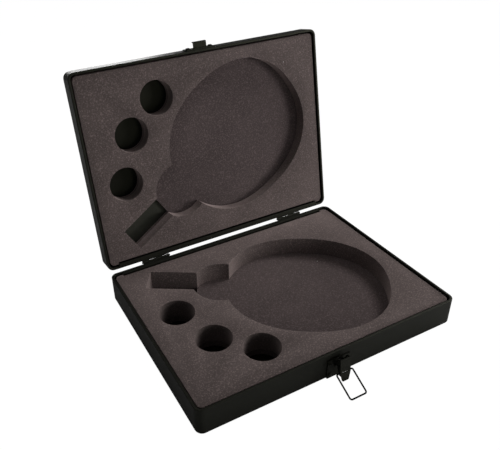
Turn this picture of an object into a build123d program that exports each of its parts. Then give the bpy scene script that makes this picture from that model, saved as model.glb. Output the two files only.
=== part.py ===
from build123d import *
import math
import os

# A hinged steel case for one table tennis racket and three balls.
# Two shallow drawn trays are joined by two hinges at the back and held shut
# by a wire bail toggle latch at the front. Both trays are lined with two
# layers of die-cut foam. The lid is drawn standing open on its hinge stop.
# Origin: centre of the base's underside. X runs along the hinges to the
# right, Y runs from the latch to the hinges, Z is up. Sizes in mm, degrees.

# Trays
case_width = 315.0
case_depth = 233.0
base_height = 33.0
lid_height = 23.0
corner_radius = 8.0
bottom_edge_radius = 3.0
sheet = 0.8
hem_width = 2.8
hem_height = 3.0
hem_edge_radius = 0.6
seam_clearance = 0.3
lid_open_angle = 101.0
cut_margin = 1.0

# Foam
foam_gap = 2.0
base_foam_recess = 2.0
lid_foam_recess = 2.0
base_lower_foam = 7.2
lid_lower_foam = 5.0
foam_corner_radius = 5.0

# Cut-outs, in a frame that turns with the racket
racket_angle = -32.0
blade_x = 38.1
blade_y = -6.3
blade_half_length = 94.8
blade_half_width = 86.0
blade_squareness = 2.23
blade_points = 32
handle_offset = -5.0
neck_distance = 98.5
neck_radius = 34.0
handle_slot_width = 31.4
handle_slot_start = 128.5
handle_slot_length = 55.5
ball_hole_radius = 20.0
ball_places = [(-115.4, 17.5), (-98.9, -37.4), (-62.4, -72.7)]

# Hinges
hinge_offset = 2.2
hinge_end_distance = 60.5
hinge_width = 35.0
knuckle_count = 4
knuckle_gap = 0.3
knuckle_radius = 1.4
hinge_pin_radius = 0.75
running_clearance = 0.05
leaf_thickness = 0.6
leaf_height = 13.0
leaf_corner_radius = 2.0
leaf_rivet_spacing = 24.0
leaf_rivet_drop = 8.0
pin_end_length = 0.8
pin_end_radius = 1.15
hinge_strip_end_gap = 14.5
hinge_strip_width = 2.8

# Rivets
rivet_radius = 1.25
rivet_hole_clearance = 0.05
rivet_head_radius = 2.1
rivet_head_height = 0.9
rivet_tail_radius = 1.8
rivet_tail_height = 0.6
rivet_head_overlap = 0.1
rivet_crown_share = 0.8
wall_drill_depth = 4.0

# Latch plate and ears on the base
latch_plate_width = 28.0
latch_plate_bottom = 1.0
latch_plate_top = 25.0
latch_plate_thickness = 1.2
latch_plate_corner = 1.0
latch_rivet_x = 10.5
latch_rivet_low = 6.0
latch_rivet_high = 19.5
ear_thickness = 0.9
ear_foot_height = 7.0
lever_pivot_out = 7.4
lever_pivot_height = 26.0
lever_pin_radius = 1.2
lever_pin_head_radius = 2.0
lever_pin_head_height = 0.8

# Lever
lever_width = 12.4
lever_sheet = 0.8
lever_side_clearance = 0.2
lever_face_out = 3.4
lever_above_pivot = 4.6
lever_below_pivot = 23.4
lever_tip_width = 7.8
lever_taper_length = 10.0
lever_tip_corner = 2.0
lever_hub_radius = 3.4
lever_eye_radius = 2.2
lever_slot_width = 7.0
lever_slot_height = 1.0
lever_rest_angle = 6.8
lever_swing = 145.0

# Bail
bail_wire_radius = 0.85
bail_leg_spacing = 19.6
bail_length = 26.8
bail_corner_radius = 2.2
bail_eye_corner_radius = 1.5
bail_pivot_out = 1.4
bail_pivot_below = 13.4
bail_stub_inside = 0.5

# Strike on the lid
strike_width = 37.0
strike_bottom = 1.5
strike_height = 11.5
strike_thickness = 1.5
strike_corner = 1.2
strike_rivet_x = 14.2
strike_rivet_height = 7.3
strike_head_radius = 2.6
strike_head_height = 1.4
tongue_width = 16.5
tongue_thickness = 1.2
tongue_reach = 8.8
tongue_lip = 2.2
tongue_bend_radius = 1.0
bail_seat_out = 3.5
bail_seat_clearance = 0.15

# Places worked out from the sizes above
front_y = -case_depth / 2
back_y = case_depth / 2
seam_z = base_height + seam_clearance
hinge_y = back_y + hinge_offset
hinge_z = base_height + seam_clearance / 2
hinge_axis = Axis((0, hinge_y, hinge_z), (1, 0, 0))
hinge_centre_x = case_width / 2 - hinge_end_distance
hinge_strip_length = case_width - 2 * hinge_strip_end_gap
base_foam_split = sheet + base_lower_foam
base_foam_top = base_height - base_foam_recess
lid_floor_z = seam_z + lid_height - sheet
lid_foam_split = lid_floor_z - lid_lower_foam
lid_foam_face = seam_z + lid_foam_recess
foam_inset = hem_width + foam_gap

pivot_y = front_y - lever_pivot_out
pivot_z = lever_pivot_height
lever_axis = Axis((0, pivot_y, pivot_z), (1, 0, 0))
flange_inner = lever_width / 2 - lever_sheet
ear_outer = flange_inner - lever_side_clearance
ear_inner = ear_outer - ear_thickness
ear_radius = lever_face_out - lever_sheet - lever_side_clearance


def out_y(distance):
    """Y of a point this far out from the front wall."""
    return front_y - distance


def turned(out, up, angle):
    """A place (out, up) from a pivot, swung away from the case by an angle."""
    a = math.radians(angle)
    return (out * math.cos(a) - up * math.sin(a), out * math.sin(a) + up * math.cos(a))


bail_closed = (bail_pivot_out, -bail_pivot_below)
bail_rest = turned(*bail_closed, lever_rest_angle)
bail_y = pivot_y - bail_rest[0]
bail_z = pivot_z + bail_rest[1]
bail_drop = math.asin((bail_z - bail_wire_radius) / bail_length)

# The bail's end bar sits in the hook when the lever is closed
closed_bail_out = lever_pivot_out + bail_closed[0]
closed_bail_z = pivot_z + bail_closed[1]
bail_seat_rise = math.sqrt(bail_length ** 2 - (closed_bail_out - bail_seat_out) ** 2)
bail_seat_z = closed_bail_z + bail_seat_rise
tongue_top = bail_seat_z - bail_wire_radius - bail_seat_clearance


def opened(shape):
    """Swing a piece of the closed lid up to its rest place."""
    return shape.rotate(hinge_axis, -lid_open_angle)


def block(x0, x1, y0, y1, z0, z1):
    """A box between two corners."""
    size = (x1 - x0, y1 - y0, z1 - z0)
    centre = ((x0 + x1) / 2, (y0 + y1) / 2, (z0 + z1) / 2)
    return Pos(*centre) * Box(*size)


def rod(radius, start, end):
    """A round bar between two points."""
    a = Vector(*start)
    b = Vector(*end)
    plane = Plane(origin=a, z_dir=(b - a).normalized())
    return extrude(plane * Circle(radius), (b - a).length)


def rounded_slab(inset, radius, z0, z1):
    """A slab with the case's outline drawn in by an inset."""
    outline = RectangleRounded(case_width - 2 * inset, case_depth - 2 * inset, radius)
    return Pos(0, 0, z0) * extrude(outline, z1 - z0)


def tray(height):
    """An open drawn tray, floor down, with a hem folded in around its rim."""
    body = rounded_slab(0, corner_radius, 0, height)
    floor_edges = body.edges().group_by(Axis.Z)[0]
    body = fillet(floor_edges, bottom_edge_radius)
    hollow = rounded_slab(sheet, corner_radius - sheet, sheet, height)
    inner_edges = hollow.edges().group_by(Axis.Z)[0]
    hollow = fillet(inner_edges, bottom_edge_radius - sheet)
    hem = rounded_slab(0, corner_radius, height - hem_height, height)
    hem -= rounded_slab(hem_width, corner_radius - hem_width, height - hem_height, height)
    shell = body - hollow + hem
    rim_edges = shell.edges().group_by(Axis.Z)[-1]
    return fillet(rim_edges, hem_edge_radius)


def racket_place(along, across):
    """A point given along and across the racket, measured from the blade's centre."""
    a = math.radians(racket_angle)
    x = blade_x + along * math.cos(a) - across * math.sin(a)
    y = blade_y + along * math.sin(a) + across * math.cos(a)
    return (x, y)


def blade_outline():
    """The blade's cut-out: an oval drawn a little square."""
    points = []
    for step in range(blade_points):
        t = 2 * math.pi * step / blade_points
        c = math.cos(t)
        s = math.sin(t)
        power = 2 / blade_squareness
        along = blade_half_length * math.copysign(abs(c) ** power, c)
        across = blade_half_width * math.copysign(abs(s) ** power, s)
        points.append(racket_place(along, across))
    return make_face(Spline(*points, periodic=True))


def handle_slot():
    """The slot for the handle, along the racket."""
    middle = -(handle_slot_start + handle_slot_length / 2)
    x, y = racket_place(middle, handle_offset)
    return Pos(x, y) * Rot(0, 0, racket_angle) * Rectangle(handle_slot_length, handle_slot_width)


def ball_holes():
    """The three round holes."""
    holes = Sketch()
    for x, y in ball_places:
        holes += Pos(x, y) * Circle(ball_hole_radius)
    return holes


def deep_cuts():
    """What goes through both layers of foam."""
    return handle_slot() + ball_holes()


def shallow_cuts():
    """What goes through the face layer only: the blade and the finger space at its neck."""
    x, y = racket_place(-neck_distance, handle_offset)
    return blade_outline() + Pos(x, y) * Circle(neck_radius)


def foam_slab(z0, z1, cuts):
    """One layer of foam with its cut-outs and a notch beside the hinge strip."""
    slab = rounded_slab(foam_inset, foam_corner_radius, z0, z1)
    for cut in cuts:
        slab -= Pos(0, 0, z0) * extrude(cut, z1 - z0)
    return slab - hinge_strip_slab(foam_gap, z0, z1)


def hinge_strip_slab(extra, z0, z1):
    """The bar along a tray's hinge rim, or the space it leaves in the foam."""
    y1 = back_y - hem_width
    y0 = y1 - hinge_strip_width - extra
    half = hinge_strip_length / 2
    return block(-half, half, y0, y1, z0, z1)


def base_foam_upper():
    return foam_slab(base_foam_split, base_foam_top, [shallow_cuts(), deep_cuts()])


def base_foam_lower():
    return foam_slab(sheet, base_foam_split, [deep_cuts()])


def lid_foam_upper():
    return foam_slab(lid_foam_face, lid_foam_split, [shallow_cuts(), deep_cuts()])


def lid_foam_lower():
    return foam_slab(lid_foam_split, lid_floor_z, [deep_cuts()])


def hinge_strip(z0):
    """A bar that stiffens the rim inside the hinges."""
    strip = hinge_strip_slab(0, z0, z0 + hem_height)
    inner_edges = strip.edges().filter_by(Axis.X).sort_by(Axis.Y)[:2]
    return fillet(inner_edges, hem_edge_radius)


def base_hinge_strip():
    return hinge_strip(base_height - hem_height)


def lid_hinge_strip():
    return hinge_strip(seam_z)


def rivet(place, outward, grip, head_radius=rivet_head_radius, head_height=rivet_head_height):
    """A domed rivet. Place is on the outer face, and grip is what it holds."""
    p = Vector(*place)
    d = Vector(*outward)
    shank = rod(rivet_radius, p - d * grip, p + d * rivet_head_overlap)
    head = rod(head_radius, p, p + d * head_height)
    crown_edge = head.edges().sort_by(Axis(place, outward))[-1]
    head = fillet(crown_edge, head_height * rivet_crown_share)
    tail_start = p - d * grip
    tail = rod(rivet_tail_radius, tail_start, tail_start - d * rivet_tail_height)
    return shank + head + tail


def rivet_hole(place, outward, depth):
    p = Vector(*place)
    d = Vector(*outward)
    return rod(rivet_radius + rivet_hole_clearance, p - d * depth, p + d * depth)


def leaf_rivet_places(direction):
    """Rivets on the hinge leaves: direction is -1 for the base and 1 for the lid."""
    y = back_y + leaf_thickness
    z = hinge_z + direction * leaf_rivet_drop
    places = []
    for side in (-1, 1):
        for step in (-1, 1):
            x = side * hinge_centre_x + step * leaf_rivet_spacing / 2
            places.append((x, y, z))
    return places


def latch_rivet_places():
    y = out_y(latch_plate_thickness)
    heights = (latch_rivet_low, latch_rivet_high)
    return [(x, y, z) for x in (-latch_rivet_x, latch_rivet_x) for z in heights]


def strike_rivet_places():
    y = out_y(strike_thickness)
    z = seam_z + strike_rivet_height
    return [(x, y, z) for x in (-strike_rivet_x, strike_rivet_x)]


def drilled(shape, places, outward, depth):
    for place in places:
        shape -= rivet_hole(place, outward, depth)
    return shape


def hinge_leaf(side, direction, first_knuckle):
    """A leaf on the back wall with every second knuckle of one hinge."""
    x0 = side * hinge_centre_x - hinge_width / 2
    near_z = hinge_z + direction * seam_clearance
    far_z = hinge_z + direction * leaf_height
    x1 = x0 + hinge_width
    low = min(near_z, far_z)
    high = max(near_z, far_z)
    leaf = block(x0, x1, back_y, back_y + leaf_thickness, low, high)
    far_corners = leaf.edges().filter_by(Axis.Y).sort_by(Axis.Z)
    far_corners = far_corners[:2] if direction < 0 else far_corners[-2:]
    leaf = fillet(far_corners, leaf_corner_radius)
    pitch = hinge_width / knuckle_count
    root_z = hinge_z + direction * 2 * knuckle_radius
    for number in range(first_knuckle, knuckle_count, 2):
        a = x0 + number * pitch + knuckle_gap / 2
        b = x0 + (number + 1) * pitch - knuckle_gap / 2
        leaf += rod(knuckle_radius, (a, hinge_y, hinge_z), (b, hinge_y, hinge_z))
        web_y = hinge_y - knuckle_radius / 2
        leaf += block(a, b, back_y, web_y, min(hinge_z, root_z), max(hinge_z, root_z))
    hole_radius = hinge_pin_radius + running_clearance
    hole_start = (x0 - cut_margin, hinge_y, hinge_z)
    hole_end = (x1 + cut_margin, hinge_y, hinge_z)
    leaf -= rod(hole_radius, hole_start, hole_end)
    return drilled(leaf, leaf_rivet_places(direction), (0, 1, 0), leaf_height)


def hinge_pin(side):
    """The pin of one hinge, with a peened end on each side."""
    half = hinge_width / 2
    x = side * hinge_centre_x
    pin = rod(hinge_pin_radius, (x - half, hinge_y, hinge_z), (x + half, hinge_y, hinge_z))
    for end in (-1, 1):
        start = (x + end * half, hinge_y, hinge_z)
        stop = (x + end * (half + pin_end_length), hinge_y, hinge_z)
        pin += rod(pin_end_radius, start, stop)
    return pin


def leaf_rivets(direction):
    grip = leaf_thickness + sheet
    return Compound([rivet(place, (0, 1, 0), grip) for place in leaf_rivet_places(direction)])


def base_shell():
    shell = tray(base_height)
    shell = drilled(shell, leaf_rivet_places(-1), (0, 1, 0), wall_drill_depth)
    return drilled(shell, latch_rivet_places(), (0, -1, 0), wall_drill_depth)


def lid_shell():
    shell = tray(lid_height).mirror(Plane.XY)
    shell = Pos(0, 0, seam_z + lid_height) * shell
    shell = drilled(shell, leaf_rivet_places(1), (0, 1, 0), wall_drill_depth)
    return drilled(shell, strike_rivet_places(), (0, -1, 0), wall_drill_depth)


def latch_ear(face_y):
    """One ear, sloped at the top to clear the lever when it is swung right up."""
    swing = math.radians(lever_swing)
    crown = (-ear_radius * math.cos(swing), ear_radius * math.sin(swing))
    reach = face_y - pivot_y
    shoulder = (ear_radius + reach * math.cos(swing)) / math.sin(swing)
    foot = shoulder - ear_foot_height
    outline = make_face(Polyline(
        crown, (reach, shoulder), (reach, foot), (0, -ear_radius), crown))
    side_plane = Plane(origin=(ear_inner, pivot_y, pivot_z), x_dir=(0, 1, 0), z_dir=(1, 0, 0))
    arm = extrude(side_plane * outline, ear_thickness)
    return arm + rod(ear_radius, (ear_inner, pivot_y, pivot_z), (ear_outer, pivot_y, pivot_z))


def latch_plate():
    """The plate on the base's front wall with two ears that carry the lever."""
    half = latch_plate_width / 2
    face_y = out_y(latch_plate_thickness)
    plate = block(-half, half, face_y, front_y, latch_plate_bottom, latch_plate_top)
    plate = fillet(plate.edges().filter_by(Axis.Y), latch_plate_corner)
    ear = latch_ear(face_y)
    plate += ear
    plate += ear.mirror(Plane.YZ)
    hole_radius = lever_pin_radius + running_clearance
    plate -= rod(hole_radius, (-half, pivot_y, pivot_z), (half, pivot_y, pivot_z))
    return drilled(plate, latch_rivet_places(), (0, -1, 0), wall_drill_depth)


def latch_lever_pin():
    half = lever_width / 2 + running_clearance
    pin = rod(lever_pin_radius, (-half, pivot_y, pivot_z), (half, pivot_y, pivot_z))
    for end in (-1, 1):
        start = (end * half, pivot_y, pivot_z)
        stop = (end * (half + lever_pin_head_height), pivot_y, pivot_z)
        pin += rod(lever_pin_head_radius, start, stop)
    return pin


def lever_side_outline():
    """The lever's side, seen along X: out from the pivot is to the left."""
    top = lever_above_pivot
    tip = -lever_below_pivot
    face = -lever_face_out
    hub = lever_hub_radius
    eye_back = -bail_pivot_out + lever_eye_radius
    eye_low = -bail_pivot_below - lever_eye_radius
    taper_end = face + lever_sheet
    points = [
        (face, top),
        (0, hub),
        (hub, 0),
        (eye_back, -bail_pivot_below),
        (eye_back, eye_low),
        (taper_end, tip),
        (face, tip),
    ]
    corner = Polyline(points[0], points[1])
    hub_arc = RadiusArc(points[1], points[2], hub)
    rest = Polyline(*points[2:], points[0])
    return make_face([corner, hub_arc, rest])


def lever_face_outline():
    """The lever's face, seen from the front, with its narrowed tip."""
    top = lever_above_pivot
    tip = -lever_below_pivot
    wide = lever_width / 2
    narrow = lever_tip_width / 2
    shoulder = tip + lever_taper_length
    outline = make_face(Polyline(
        (-wide, top), (wide, top), (wide, shoulder), (narrow, tip),
        (-narrow, tip), (-wide, shoulder), (-wide, top)))
    tip_corners = outline.vertices().sort_by(Axis.Y)[:2]
    return fillet(tip_corners, lever_tip_corner)


def latch_lever():
    """A pressed channel: a face with two side flanges that hang on the pin."""
    side_plane = Plane(origin=(0, pivot_y, pivot_z), x_dir=(0, 1, 0), z_dir=(1, 0, 0))
    front_plane = Plane(origin=(0, pivot_y, pivot_z), x_dir=(1, 0, 0), z_dir=(0, -1, 0))
    body = extrude(side_plane * lever_side_outline(), lever_width / 2, both=True)
    body &= extrude(front_plane * lever_face_outline(), lever_pivot_out * 2, both=True)
    channel_y = pivot_y - lever_face_out + lever_sheet
    low = pivot_z - lever_below_pivot
    high = pivot_z + lever_above_pivot
    body -= block(-flange_inner, flange_inner, channel_y, front_y, low - cut_margin, high + cut_margin)
    half = lever_width
    pin_hole = lever_pin_radius + running_clearance
    body -= rod(pin_hole, (-half, pivot_y, pivot_z), (half, pivot_y, pivot_z))
    eye_y = pivot_y - bail_pivot_out
    eye_z = pivot_z - bail_pivot_below
    eye_hole = bail_wire_radius + running_clearance
    body -= rod(eye_hole, (-half, eye_y, eye_z), (half, eye_y, eye_z))
    slot_half = lever_slot_width / 2
    slot_z = eye_z + lever_slot_height
    face_y = pivot_y - lever_face_out
    slot_top = slot_z + lever_slot_height
    body -= block(-slot_half, slot_half, face_y - cut_margin, channel_y + cut_margin, slot_z, slot_top)
    return body.rotate(lever_axis, -lever_rest_angle)


def latch_bail():
    """One length of wire: two stubs in the lever, two legs and an end bar."""
    leg = bail_leg_spacing / 2
    stub = flange_inner - bail_stub_inside
    end_y = bail_y - bail_length * math.cos(bail_drop)
    end_z = bail_z - bail_length * math.sin(bail_drop)
    corners = [
        (-stub, bail_y, bail_z),
        (-leg, bail_y, bail_z),
        (-leg, end_y, end_z),
        (leg, end_y, end_z),
        (leg, bail_y, bail_z),
        (stub, bail_y, bail_z),
    ]
    radii = [bail_eye_corner_radius, bail_corner_radius, bail_corner_radius, bail_eye_corner_radius]
    path = FilletPolyline(*corners, radius=radii)
    start = Plane(origin=path @ 0, z_dir=path % 0)
    return sweep(start * Circle(bail_wire_radius), path=path)


def strike_plate():
    """The lid's catch: a riveted plate with a tongue that ends in a lip."""
    half = strike_width / 2
    face_y = out_y(strike_thickness)
    low = seam_z + strike_bottom
    plate = block(-half, half, face_y, front_y, low, low + strike_height)
    plate = fillet(plate.edges().filter_by(Axis.Y), strike_corner)
    tongue_half = tongue_width / 2
    end_y = out_y(tongue_reach)
    tongue = block(-tongue_half, tongue_half, end_y, face_y, tongue_top - tongue_thickness, tongue_top)
    lip_y = end_y + tongue_thickness
    lip = block(-tongue_half, tongue_half, end_y, lip_y, tongue_top, tongue_top + tongue_lip)
    hook = tongue + lip
    outer_bend = hook.edges().filter_by(Axis.X).sort_by(Axis.Z)[:2].sort_by(Axis.Y)[0]
    hook = fillet(outer_bend, tongue_bend_radius)
    return drilled(plate + hook, strike_rivet_places(), (0, -1, 0), wall_drill_depth)


def latch_plate_rivets():
    grip = latch_plate_thickness + sheet
    return Compound([rivet(place, (0, -1, 0), grip) for place in latch_rivet_places()])


def strike_rivets():
    grip = strike_thickness + sheet
    rivets = []
    for place in strike_rivet_places():
        rivets.append(rivet(place, (0, -1, 0), grip, strike_head_radius, strike_head_height))
    return Compound(rivets)


parts = {
    "base_shell": base_shell(),
    "base_foam_upper": base_foam_upper(),
    "base_foam_lower": base_foam_lower(),
    "base_hinge_strip": base_hinge_strip(),
    "hinge_base_leaf_left": hinge_leaf(-1, -1, 1),
    "hinge_base_leaf_right": hinge_leaf(1, -1, 1),
    "hinge_pin_left": hinge_pin(-1),
    "hinge_pin_right": hinge_pin(1),
    "hinge_base_rivets": leaf_rivets(-1),
    "latch_plate": latch_plate(),
    "latch_plate_rivets": latch_plate_rivets(),
    "latch_lever_pin": latch_lever_pin(),
    "latch_lever": latch_lever(),
    "latch_bail": latch_bail(),
    "lid_shell": opened(lid_shell()),
    "lid_foam_upper": opened(lid_foam_upper()),
    "lid_foam_lower": opened(lid_foam_lower()),
    "lid_hinge_strip": opened(lid_hinge_strip()),
    "hinge_lid_leaf_left": opened(hinge_leaf(-1, 1, 0)),
    "hinge_lid_leaf_right": opened(hinge_leaf(1, 1, 0)),
    "hinge_lid_rivets": opened(leaf_rivets(1)),
    "strike_plate": opened(strike_plate()),
    "strike_rivets": opened(strike_rivets()),
}

os.makedirs("parts", exist_ok=True)
for name, shape in parts.items():
    export_step(shape, "parts/" + name + ".step")
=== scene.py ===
import bpy
import math
from mathutils import Matrix, Vector


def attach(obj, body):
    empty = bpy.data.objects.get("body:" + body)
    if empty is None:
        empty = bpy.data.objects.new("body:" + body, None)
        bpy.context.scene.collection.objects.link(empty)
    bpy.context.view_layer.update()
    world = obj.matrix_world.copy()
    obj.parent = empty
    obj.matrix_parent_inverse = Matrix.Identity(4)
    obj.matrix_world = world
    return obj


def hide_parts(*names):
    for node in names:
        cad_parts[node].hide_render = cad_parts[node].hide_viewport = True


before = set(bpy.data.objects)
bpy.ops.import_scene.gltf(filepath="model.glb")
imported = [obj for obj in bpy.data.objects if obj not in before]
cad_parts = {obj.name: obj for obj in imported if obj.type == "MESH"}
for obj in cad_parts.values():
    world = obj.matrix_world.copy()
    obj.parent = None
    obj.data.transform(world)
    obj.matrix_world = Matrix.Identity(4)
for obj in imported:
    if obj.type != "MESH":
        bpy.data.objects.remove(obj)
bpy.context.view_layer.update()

# The case's sizes, in metres, as the solids have them

MM = 0.001
case_width = 315 * MM
case_depth = 233 * MM
base_height = 33 * MM
lid_height = 23 * MM
sheet = 0.8 * MM
seam_clearance = 0.3 * MM
hinge_offset = 2.2 * MM
lid_open = math.radians(101.0)

hinge_point = Vector((0, case_depth / 2 + hinge_offset, base_height + seam_clearance / 2))
seam_z = base_height + seam_clearance

# Foam layers

foam_inset = 4.8 * MM
foam_corner = 5 * MM
foam_edge = 1.2 * MM
base_layer_split = sheet + 7.2 * MM
base_foam_top = base_height - 2.0 * MM
lid_floor = seam_z + lid_height - sheet
lid_layer_split = lid_floor - 5.0 * MM
lid_foam_face = seam_z + 2.0 * MM
strip_length = 286 * MM
strip_notch = 2.8 * MM

# The cut-outs turn with the racket

racket_angle = math.radians(-32)
blade_centre = Vector((38.1 * MM, -6.3 * MM, 0))
blade_half_length = 94.8 * MM
blade_half_width = 86 * MM
blade_squareness = 2.23
handle_offset = -5.0 * MM
neck_distance = 98.5 * MM
neck_radius = 34 * MM
slot_width = 31.4 * MM
slot_start = 128.5 * MM
slot_length = 55.5 * MM
ball_radius = 20 * MM
ball_places = [(-115.4 * MM, 17.5 * MM), (-98.9 * MM, -37.4 * MM), (-62.4 * MM, -72.7 * MM)]
cut_margin = 5 * MM

# How finely the foam is cut

blade_sides = 160
hole_sides = 96
corner_steps = 12
edge_steps = 3
hard_edge_angle = math.radians(35)
smooth_angle = math.radians(40)
level_normal = 0.99

# The foam pieces' material slots

face_slot = 0
edge_slot = 1
hole_slot = 2

# Foam pattern, in cells per metre and as shares of the tone

pits_per_metre = 1500
grain_per_metre = 700
mottle_per_metre = 26
lint_per_metre = 55
grain_detail = 5
mottle_detail = 4
pit_level = 0.45
pit_contrast = 0.3
pit_height = 0.6
grain_level = 0.5
grain_contrast = 6.5
grain_shade = 0.15
mottle_contrast = 0.7
lint_size = 0.045
lint_colour = (0.42, 0.4, 0.38, 1)

# Foam finish

foam_roughness = 0.95
foam_shine = 0.2
foam_sheen = 0.4
foam_sheen_roughness = 0.5
foam_sheen_tint = (1, 0.8, 0.76, 1)
foam_bump_depth = 0.15 * MM
foam_bump_strength = 0.5

# Paint pattern and finish

peel_per_metre = 900
patches_per_metre = 22
flecks_per_metre = 260
peel_detail = 2
patch_detail = 5
fleck_detail = 4
fleck_contrast = 0.4
paint_colour = (0.0080, 0.0081, 0.0068)
paint_shine = 0.1
paint_tint = (1, 1, 0.72, 1)
peel_depth = 0.06 * MM

# The trays' floors show under the cut-outs. They are darkened there as painted shade, and paler under the
# handle slot.

floor_painted_shade = 0.6
slot_lightening = 3.0
floor_reach = 0.3 * MM
slot_side = Vector((0, 44 * MM, 0))


def racket_place(along, across):
    """A point measured along and across the racket from the blade's centre."""
    turn = Matrix.Rotation(racket_angle, 3, "Z")
    return blade_centre + turn @ Vector((along, across, 0))


# Shader groups

def new_group(name, inputs, outputs):
    """An empty shader group with named number inputs and outputs."""
    group = bpy.data.node_groups.new(name, "ShaderNodeTree")
    for label, value in inputs:
        socket = group.interface.new_socket(label, in_out="INPUT", socket_type="NodeSocketFloat")
        socket.default_value = value
    for label in outputs:
        group.interface.new_socket(label, in_out="OUTPUT", socket_type="NodeSocketFloat")
    return group, group.nodes.new("NodeGroupInput"), group.nodes.new("NodeGroupOutput")


def number(tree, operation, first, second):
    """A Math node between two sockets or numbers."""
    node = tree.nodes.new("ShaderNodeMath")
    node.operation = operation
    for socket, value in zip(node.inputs, (first, second)):
        if isinstance(value, (int, float)):
            socket.default_value = value
        else:
            tree.links.new(value, socket)
    return node.outputs[0]


def spread(tree, value, middle, contrast):
    """A number's distance from a middle value, made larger or smaller."""
    return number(tree, "MULTIPLY", number(tree, "SUBTRACT", value, middle), contrast)


def object_place(tree):
    return tree.nodes.new("ShaderNodeTexCoord").outputs["Object"]


def noise(tree, scale, detail, place):
    """A noise texture. Scale is in cells per metre."""
    node = tree.nodes.new("ShaderNodeTexNoise")
    node.inputs["Detail"].default_value = detail
    tree.links.new(place, node.inputs["Vector"])
    if isinstance(scale, (int, float)):
        node.inputs["Scale"].default_value = scale
    else:
        tree.links.new(scale, node.inputs["Scale"])
    return node.outputs["Fac"]


def lint_specks(group, place, share):
    """One on a few small specks of lint, and nought between them."""
    fluff = group.nodes.new("ShaderNodeTexVoronoi")
    fluff.inputs["Scale"].default_value = lint_per_metre
    group.links.new(place, fluff.inputs["Vector"])
    draw = group.nodes.new("ShaderNodeSeparateColor")
    group.links.new(fluff.outputs["Color"], draw.inputs[0])
    chosen = number(group, "LESS_THAN", draw.outputs[0], share)
    near = number(group, "LESS_THAN", fluff.outputs["Distance"], lint_size)
    return number(group, "MULTIPLY", chosen, near)


def foam_cell_group():
    """Closed-cell foam: fine pits, a pale grain, soft mottling and a few specks of lint."""
    inputs = [
        ("Cells", pits_per_metre), ("Grain", grain_per_metre), ("Mottle", mottle_per_metre), ("Lint", 0)]
    group, given, put = new_group("foam cells", inputs, ["Tone", "Lint", "Height"])
    place = object_place(group)
    cells = group.nodes.new("ShaderNodeTexVoronoi")
    group.links.new(place, cells.inputs["Vector"])
    group.links.new(given.outputs["Cells"], cells.inputs["Scale"])
    depth = cells.outputs["Distance"]
    pits = spread(group, depth, pit_level, pit_contrast)
    mottle = spread(group, noise(group, given.outputs["Mottle"], mottle_detail, place), 0.5, mottle_contrast)
    grain = noise(group, given.outputs["Grain"], grain_detail, place)
    salt = number(group, "MAXIMUM", number(group, "SUBTRACT", grain, grain_level), 0)
    speckle = number(group, "SUBTRACT", number(group, "MULTIPLY", salt, grain_contrast), grain_shade)
    change = number(group, "ADD", number(group, "ADD", mottle, speckle), pits)
    height = number(group, "ADD", number(group, "MULTIPLY", depth, pit_height), grain)
    group.links.new(number(group, "ADD", change, 1.0), put.inputs["Tone"])
    group.links.new(lint_specks(group, place, given.outputs["Lint"]), put.inputs["Lint"])
    group.links.new(height, put.inputs["Height"])
    return group


def paint_group():
    """Baked paint: a fine orange peel, faint rubbed patches in the gloss, and flecks in the tone."""
    inputs = [("Peel", peel_per_metre), ("Base Roughness", 0.4), ("Rubbed", 0.12)]
    group, given, put = new_group("baked paint", inputs, ["Height", "Roughness", "Tone"])
    place = object_place(group)
    peel = noise(group, given.outputs["Peel"], peel_detail, place)
    patches = noise(group, patches_per_metre, patch_detail, place)
    change = spread(group, patches, 0.5, given.outputs["Rubbed"])
    fleck = spread(group, noise(group, flecks_per_metre, fleck_detail, place), 0.5, fleck_contrast)
    group.links.new(peel, put.inputs["Height"])
    group.links.new(number(group, "ADD", given.outputs["Base Roughness"], change), put.inputs["Roughness"])
    group.links.new(number(group, "ADD", fleck, 1.0), put.inputs["Tone"])
    return group


foam_cells = foam_cell_group()
baked_paint = paint_group()


# Materials

def new_material(name):
    """A material with its Principled BSDF, and its tree."""
    material = bpy.data.materials.new(name)
    material.use_nodes = True
    return material, material.node_tree, material.node_tree.nodes["Principled BSDF"]


def place_group(tree, group, label, value):
    """A shader group in a material, with one of its inputs set."""
    node = tree.nodes.new("ShaderNodeGroup")
    node.node_tree = group
    node.inputs[label].default_value = value
    return node


def toned(tree, colour, tone):
    """A colour made lighter or darker by a number that changes over the surface."""
    mix = tree.nodes.new("ShaderNodeMix")
    mix.data_type = "RGBA"
    mix.blend_type = "MULTIPLY"
    mix.inputs["Factor"].default_value = 1
    mix.inputs["A"].default_value = (*colour, 1)
    tree.links.new(tone, mix.inputs["B"])
    return mix.outputs["Result"]


def bumped(tree, shader, height, distance, strength):
    bump = tree.nodes.new("ShaderNodeBump")
    bump.inputs["Distance"].default_value = distance
    bump.inputs["Strength"].default_value = strength
    tree.links.new(height, bump.inputs["Height"])
    tree.links.new(bump.outputs["Normal"], shader.inputs["Normal"])


def foam_material(name, colour, lint):
    material, tree, shader = new_material(name)
    cells = place_group(tree, foam_cells, "Lint", lint)
    mix = tree.nodes.new("ShaderNodeMix")
    mix.data_type = "RGBA"
    mix.inputs["B"].default_value = lint_colour
    tree.links.new(cells.outputs["Lint"], mix.inputs["Factor"])
    tree.links.new(toned(tree, colour, cells.outputs["Tone"]), mix.inputs["A"])
    tree.links.new(mix.outputs["Result"], shader.inputs["Base Color"])
    shader.inputs["Roughness"].default_value = foam_roughness
    shader.inputs["Specular IOR Level"].default_value = foam_shine
    shader.inputs["Sheen Weight"].default_value = foam_sheen
    shader.inputs["Sheen Roughness"].default_value = foam_sheen_roughness
    shader.inputs["Sheen Tint"].default_value = foam_sheen_tint
    bumped(tree, shader, cells.outputs["Height"], foam_bump_depth, foam_bump_strength)
    return material


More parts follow.
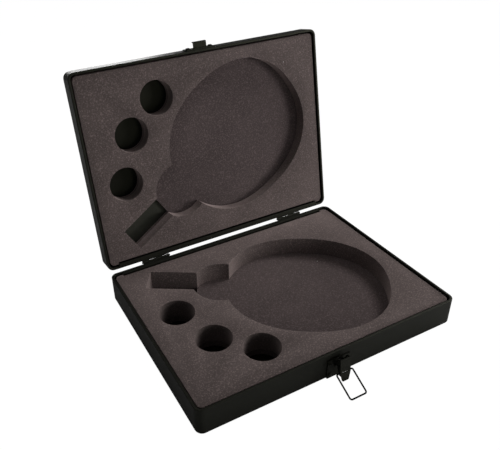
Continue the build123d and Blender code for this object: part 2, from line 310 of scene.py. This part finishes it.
def plane_distance(tree, normal, point):
    """How far the surface lies from a plane, on the side that its normal points to."""
    dot = tree.nodes.new("ShaderNodeVectorMath")
    dot.operation = "DOT_PRODUCT"
    tree.links.new(object_place(tree), dot.inputs[0])
    dot.inputs[1].default_value = normal
    return number(tree, "SUBTRACT", dot.outputs["Value"], normal.dot(point))


def floor_tone(tree, tone, tray_floor):
    """Change the tone on a tray's floor: darker as painted shade under the ball holes, and paler under the
    slot.
    """
    normal, point, slot_normal, slot_point = tray_floor
    off_floor = number(tree, "ABSOLUTE", plane_distance(tree, normal, point), 0)
    on_floor = number(tree, "LESS_THAN", off_floor, floor_reach)
    in_slot = number(tree, "GREATER_THAN", plane_distance(tree, slot_normal, slot_point), 0)
    lift = number(tree, "ADD", number(tree, "MULTIPLY", in_slot, slot_lightening), -floor_painted_shade)
    change = number(tree, "ADD", number(tree, "MULTIPLY", on_floor, lift), 1.0)
    return number(tree, "MULTIPLY", tone, change)


def paint_material(name, colour, roughness, peel_strength, tray_floor=None, shine=paint_shine):
    material, tree, shader = new_material(name)
    paint = place_group(tree, baked_paint, "Base Roughness", roughness)
    tone = paint.outputs["Tone"]
    # The tray floor is darkened here as painted shade under the ball holes.
    if tray_floor:
        tone = floor_tone(tree, tone, tray_floor)
    tree.links.new(toned(tree, colour, tone), shader.inputs["Base Color"])
    tree.links.new(paint.outputs["Roughness"], shader.inputs["Roughness"])
    shader.inputs["Specular IOR Level"].default_value = shine
    shader.inputs["Specular Tint"].default_value = paint_tint
    bumped(tree, shader, paint.outputs["Height"], peel_depth, peel_strength)
    return material


foam_grey = foam_material("charcoal foam", (0.072, 0.0555, 0.0525), lint=0.05)
# The face layers' bevelled edges get a paler copy of the foam: a painted highlight where the edges catch
# light.
foam_edge_highlight = foam_material("foam edge painted highlight", (0.2, 0.168, 0.16), lint=0.02)
# The lower layers get a darker copy of the face foam: partly the lower layer's own tone, partly painted
# shade on the recess floors and walls.
foam_under = foam_material("lower foam layer", (0.054, 0.0405, 0.040), lint=0.03)
# The ball holes' walls and rims get a much darker copy of the foam: painted shade in the holes.
foam_hole_shade = foam_material("ball hole painted shade", (0.034, 0.026, 0.024), lint=0.0)

upward = Vector((0, 0, 1))
backward = Vector((0, 1, 0))
base_floor = (upward, Vector((0, 0, sheet)), backward, slot_side)

lid_turn = Matrix.Rotation(-lid_open, 4, "X")
lid_floor_point = hinge_point + lid_turn @ (Vector((0, 0, lid_floor)) - hinge_point)
lid_slot_side = hinge_point + lid_turn @ (slot_side - hinge_point)
turned_lid_floor = (lid_turn @ upward, lid_floor_point, lid_turn @ backward, lid_slot_side)

# The two shell paints carry painted shade on their tray floors under the ball holes.
case_paint = paint_material(
    "black case paint", paint_colour, roughness=0.46, peel_strength=0.35, tray_floor=base_floor)
lid_paint = paint_material(
    "black lid paint", paint_colour, roughness=0.46, peel_strength=0.35, tray_floor=turned_lid_floor)
latch_paint = paint_material(
    "black latch paint", (0.0075, 0.0077, 0.006), roughness=0.42, peel_strength=0.25)
wire_finish = paint_material(
    "blackened wire", (0.003, 0.003, 0.003), roughness=0.4, peel_strength=0.15, shine=0.02)


def dress(names, material):
    """Give solids of the frame a finish."""
    for name in names:
        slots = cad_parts[name].data.materials
        slots.clear()
        slots.append(material)


dress(["base_shell", "base_hinge_strip"], case_paint)
dress(["lid_shell", "lid_hinge_strip"], lid_paint)
dress([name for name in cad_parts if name.startswith("hinge_")], case_paint)
dress(["latch_plate", "latch_plate_rivets", "latch_lever", "latch_lever_pin"], latch_paint)
dress(["strike_plate", "strike_rivets"], latch_paint)
dress(["latch_bail"], wire_finish)


# Modelling helpers

def only(piece):
    """Select one object and nothing else."""
    bpy.ops.object.select_all(action="DESELECT")
    piece.select_set(True)
    bpy.context.view_layer.objects.active = piece


def settle(piece):
    """Put the object's place into its mesh."""
    only(piece)
    bpy.ops.object.transform_apply(location=True, rotation=True, scale=True)


def edit_edges(piece, chosen):
    """Open a piece in edit mode with only the chosen edges selected."""
    only(piece)
    bpy.ops.object.mode_set(mode="EDIT")
    bpy.ops.mesh.select_mode(type="EDGE")
    bpy.ops.mesh.select_all(action="DESELECT")
    bpy.ops.object.mode_set(mode="OBJECT")
    points = piece.data.vertices
    for edge in piece.data.edges:
        a, b = edge.vertices
        edge.select = chosen(points[a].co, points[b].co)
    bpy.ops.object.mode_set(mode="EDIT")


def slab(name, width, depth, low, high, corner):
    """A slab with rounded upright corners."""
    bpy.ops.object.select_all(action="DESELECT")
    bpy.ops.mesh.primitive_cube_add(size=1, location=(0, 0, (low + high) / 2))
    piece = bpy.context.object
    piece.name = name
    piece.scale = (width, depth, high - low)
    settle(piece)
    edit_edges(piece, lambda a, b: abs(a.z - b.z) > (high - low) / 2)
    bpy.ops.mesh.bevel(offset=corner, segments=corner_steps, affect="EDGES")
    bpy.ops.object.mode_set(mode="OBJECT")
    return piece


def cut(piece, cutter):
    """Take a cutter's shape out of a piece."""
    only(piece)
    modifier = piece.modifiers.new("cut", "BOOLEAN")
    modifier.operation = "DIFFERENCE"
    modifier.solver = "EXACT"
    modifier.object = cutter
    bpy.ops.object.modifier_apply(modifier=modifier.name)
    bpy.data.objects.remove(cutter)


def round_cutter(x, y, radius, low, high):
    bpy.ops.object.select_all(action="DESELECT")
    middle = (x, y, (low + high) / 2)
    bpy.ops.mesh.primitive_cylinder_add(
        vertices=hole_sides, radius=radius, depth=high - low, location=middle)
    cutter = bpy.context.object
    settle(cutter)
    return cutter


def box_cutter(x, y, length, width, turn, low, high):
    bpy.ops.object.select_all(action="DESELECT")
    bpy.ops.mesh.primitive_cube_add(size=1, location=(x, y, (low + high) / 2), rotation=(0, 0, turn))
    cutter = bpy.context.object
    cutter.scale = (length, width, high - low)
    settle(cutter)
    return cutter


def blade_cutter(low, high):
    """An oval a little squarer than an ellipse, set along the racket."""
    bpy.ops.object.select_all(action="DESELECT")
    bpy.ops.mesh.primitive_cylinder_add(vertices=blade_sides, radius=1, depth=high - low)
    cutter = bpy.context.object
    power = 2 / blade_squareness
    for vertex in cutter.data.vertices:
        angle = math.atan2(vertex.co.y, vertex.co.x)
        c, s = math.cos(angle), math.sin(angle)
        along = blade_half_length * math.copysign(abs(c) ** power, c)
        across = blade_half_width * math.copysign(abs(s) ** power, s)
        place = racket_place(along, across)
        vertex.co.x, vertex.co.y = place.x, place.y
        vertex.co.z += (low + high) / 2
    return cutter


# Foam

def cut_deep(piece, low, high):
    """The handle slot and the ball holes."""
    middle = racket_place(-(slot_start + slot_length / 2), handle_offset)
    cut(piece, box_cutter(middle.x, middle.y, slot_length, slot_width, racket_angle, low, high))
    for x, y in ball_places:
        cut(piece, round_cutter(x, y, ball_radius, low, high))


def cut_shallow(piece, low, high):
    """The blade and the finger space at its neck."""
    cut(piece, blade_cutter(low, high))
    neck = racket_place(-neck_distance, handle_offset)
    cut(piece, round_cutter(neck.x, neck.y, neck_radius, low, high))


def cut_strip_notch(piece, low, high):
    """Room for the hinge strip along the back edge."""
    back_edge = case_depth / 2 - foam_inset
    cut(piece, box_cutter(0, back_edge, strip_length, 2 * strip_notch, 0, low, high))


def shade_ball_holes(piece):
    """Give the walls and rims of the ball holes a much darker copy of the foam, as painted shade."""
    steep = [face for face in piece.data.polygons if abs(face.normal.z) < level_normal]
    for face in steep:
        for x, y in ball_places:
            if math.hypot(face.center.x - x, face.center.y - y) < ball_radius + foam_edge:
                face.material_index = hole_slot


def soften(piece):
    """Round off every hard edge of a foam piece a little."""
    only(piece)
    modifier = piece.modifiers.new("soft edges", "BEVEL")
    modifier.width = foam_edge
    modifier.segments = edge_steps
    modifier.limit_method = "ANGLE"
    modifier.angle_limit = hard_edge_angle
    # The bevels take the edge slot, which is the painted edge highlight on the face layers.
    modifier.material = edge_slot
    bpy.ops.object.modifier_apply(modifier=modifier.name)
    bpy.ops.object.shade_smooth_by_angle(angle=smooth_angle)


def swing_open(piece):
    """Turn a piece of the closed lid up to its rest place."""
    only(piece)
    turn = Matrix.Translation(hinge_point) @ lid_turn @ Matrix.Translation(-hinge_point)
    piece.data.transform(turn)


def foam_layer(name, node, body, low, high, is_face):
    """One die-cut layer of foam in place of its solid."""
    width = case_width - 2 * foam_inset
    depth = case_depth - 2 * foam_inset
    piece = slab(name, width, depth, low, high, foam_corner)
    cut_deep(piece, low - cut_margin, high + cut_margin)
    if is_face:
        cut_shallow(piece, low - cut_margin, high + cut_margin)
    cut_strip_notch(piece, low - cut_margin, high + cut_margin)
    finishes = {
        face_slot: foam_grey if is_face else foam_under,
        edge_slot: foam_edge_highlight if is_face else foam_under,
        hole_slot: foam_hole_shade}
    piece.data.materials.clear()
    for slot in sorted(finishes):
        piece.data.materials.append(finishes[slot])
    soften(piece)
    shade_ball_holes(piece)
    if body == "lid":
        swing_open(piece)
    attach(piece, body)
    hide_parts(node)


foam_layer("base_foam_face", "base_foam_upper", "base", base_layer_split, base_foam_top, is_face=True)
foam_layer("base_foam_bed", "base_foam_lower", "base", sheet, base_layer_split, is_face=False)
foam_layer("lid_foam_face", "lid_foam_upper", "lid", lid_foam_face, lid_layer_split, is_face=True)
foam_layer("lid_foam_bed", "lid_foam_lower", "lid", lid_layer_split, lid_floor, is_face=False)

# Floor

floor_size = 8
floor_drop = 0.2 * MM
floor_grey = 0.55
floor_roughness = 0.9
floor_glow = 1.05
floor_glow_share = 0.95


def floor_material():
    """Pale floor that the camera sees as white, with the object's shadow kept."""
    material, tree, shader = new_material("white table")
    shader.inputs["Base Color"].default_value = (floor_grey, floor_grey, floor_grey, 1)
    shader.inputs["Roughness"].default_value = floor_roughness
    glow = tree.nodes.new("ShaderNodeEmission")
    glow.inputs["Strength"].default_value = floor_glow
    paths = tree.nodes.new("ShaderNodeLightPath")
    share = number(tree, "MULTIPLY", paths.outputs["Is Camera Ray"], floor_glow_share)
    mix = tree.nodes.new("ShaderNodeMixShader")
    tree.links.new(share, mix.inputs[0])
    tree.links.new(shader.outputs[0], mix.inputs[1])
    tree.links.new(glow.outputs[0], mix.inputs[2])
    out = tree.nodes["Material Output"]
    tree.links.new(mix.outputs[0], out.inputs["Surface"])
    return material


bpy.ops.object.select_all(action="DESELECT")
bpy.ops.mesh.primitive_plane_add(size=floor_size, location=(0, 0, -floor_drop))
floor = bpy.context.object
floor.name = "table"
floor.data.materials.append(floor_material())

# World and lamps

room_light = 0.1
lamp_size = 0.5

world = bpy.data.worlds.new("studio")
bpy.context.scene.world = world
world.use_nodes = True
sky = world.node_tree.nodes["Background"]
sky.inputs["Strength"].default_value = 1
paths = world.node_tree.nodes.new("ShaderNodeLightPath")
tint = world.node_tree.nodes.new("ShaderNodeMix")
tint.data_type = "RGBA"
tint.inputs["A"].default_value = (room_light, room_light, room_light, 1)
tint.inputs["B"].default_value = (1, 1, 1, 1)
world.node_tree.links.new(paths.outputs["Is Camera Ray"], tint.inputs["Factor"])
world.node_tree.links.new(tint.outputs["Result"], sky.inputs["Color"])


def soft_box(name, place, target, power):
    """A square soft box that faces a target."""
    data = bpy.data.lights.new(name, "AREA")
    data.size = lamp_size
    data.energy = power
    lamp = bpy.data.objects.new(name, data)
    bpy.context.scene.collection.objects.link(lamp)
    lamp.location = place
    lamp.rotation_euler = (Vector(target) - Vector(place)).to_track_quat("-Z", "Y").to_euler()


soft_box("high right box", (0.9, 0.1, 0.9), (0, 0, 0.05), power=8.6)
soft_box("low right box", (1.0, -0.8, 0.12), (0, 0, 0.1), power=13.8)
soft_box("low front box", (0.3, -1.5, 0.2), (0, 0, 0.12), power=2.5)
soft_box("front left box", (-0.8, -0.9, 0.8), (0, 0, 0.08), power=0.8)
soft_box("top box", (0.1, 0.2, 1.1), (0, 0, 0.05), power=1.4)
soft_box("back left box", (-0.6, 0.7, 0.7), (0, 0, 0.05), power=1.2)
soft_box("low back box", (0.1, 1.3, 0.2), (0, 0.15, 0.15), power=6)

# Camera, set to the photograph's view. The shift is there because the photograph was cropped.

camera_place = Vector((-0.29432, -0.44145, 0.4554))
camera_turn = math.radians(26.553)
camera_dip = math.radians(32.103)
camera_roll = math.radians(-2.288)
camera_lens = 42.42
camera_sensor = 36
camera_near = 10 * MM
camera_shift = (0.0705, -0.0098)

forward = Vector((
    math.sin(camera_turn) * math.cos(camera_dip),
    math.cos(camera_turn) * math.cos(camera_dip),
    -math.sin(camera_dip)))
level_right = forward.cross(upward).normalized()
level_up = level_right.cross(forward)
right = level_right * math.cos(camera_roll) + level_up * math.sin(camera_roll)
up = level_up * math.cos(camera_roll) - level_right * math.sin(camera_roll)

camera_data = bpy.data.cameras.new("camera")
camera_data.lens = camera_lens
camera_data.sensor_width = camera_sensor
camera_data.sensor_fit = "HORIZONTAL"
camera_data.clip_start = camera_near
camera_data.shift_x, camera_data.shift_y = camera_shift
camera = bpy.data.objects.new("camera", camera_data)
bpy.context.scene.collection.objects.link(camera)
axes = Matrix((right, up, -forward)).transposed().to_4x4()
camera.matrix_world = Matrix.Translation(camera_place) @ axes
bpy.context.scene.camera = camera
bpy.context.scene.view_settings.view_transform = "Standard"

bpy.context.view_layer.update()
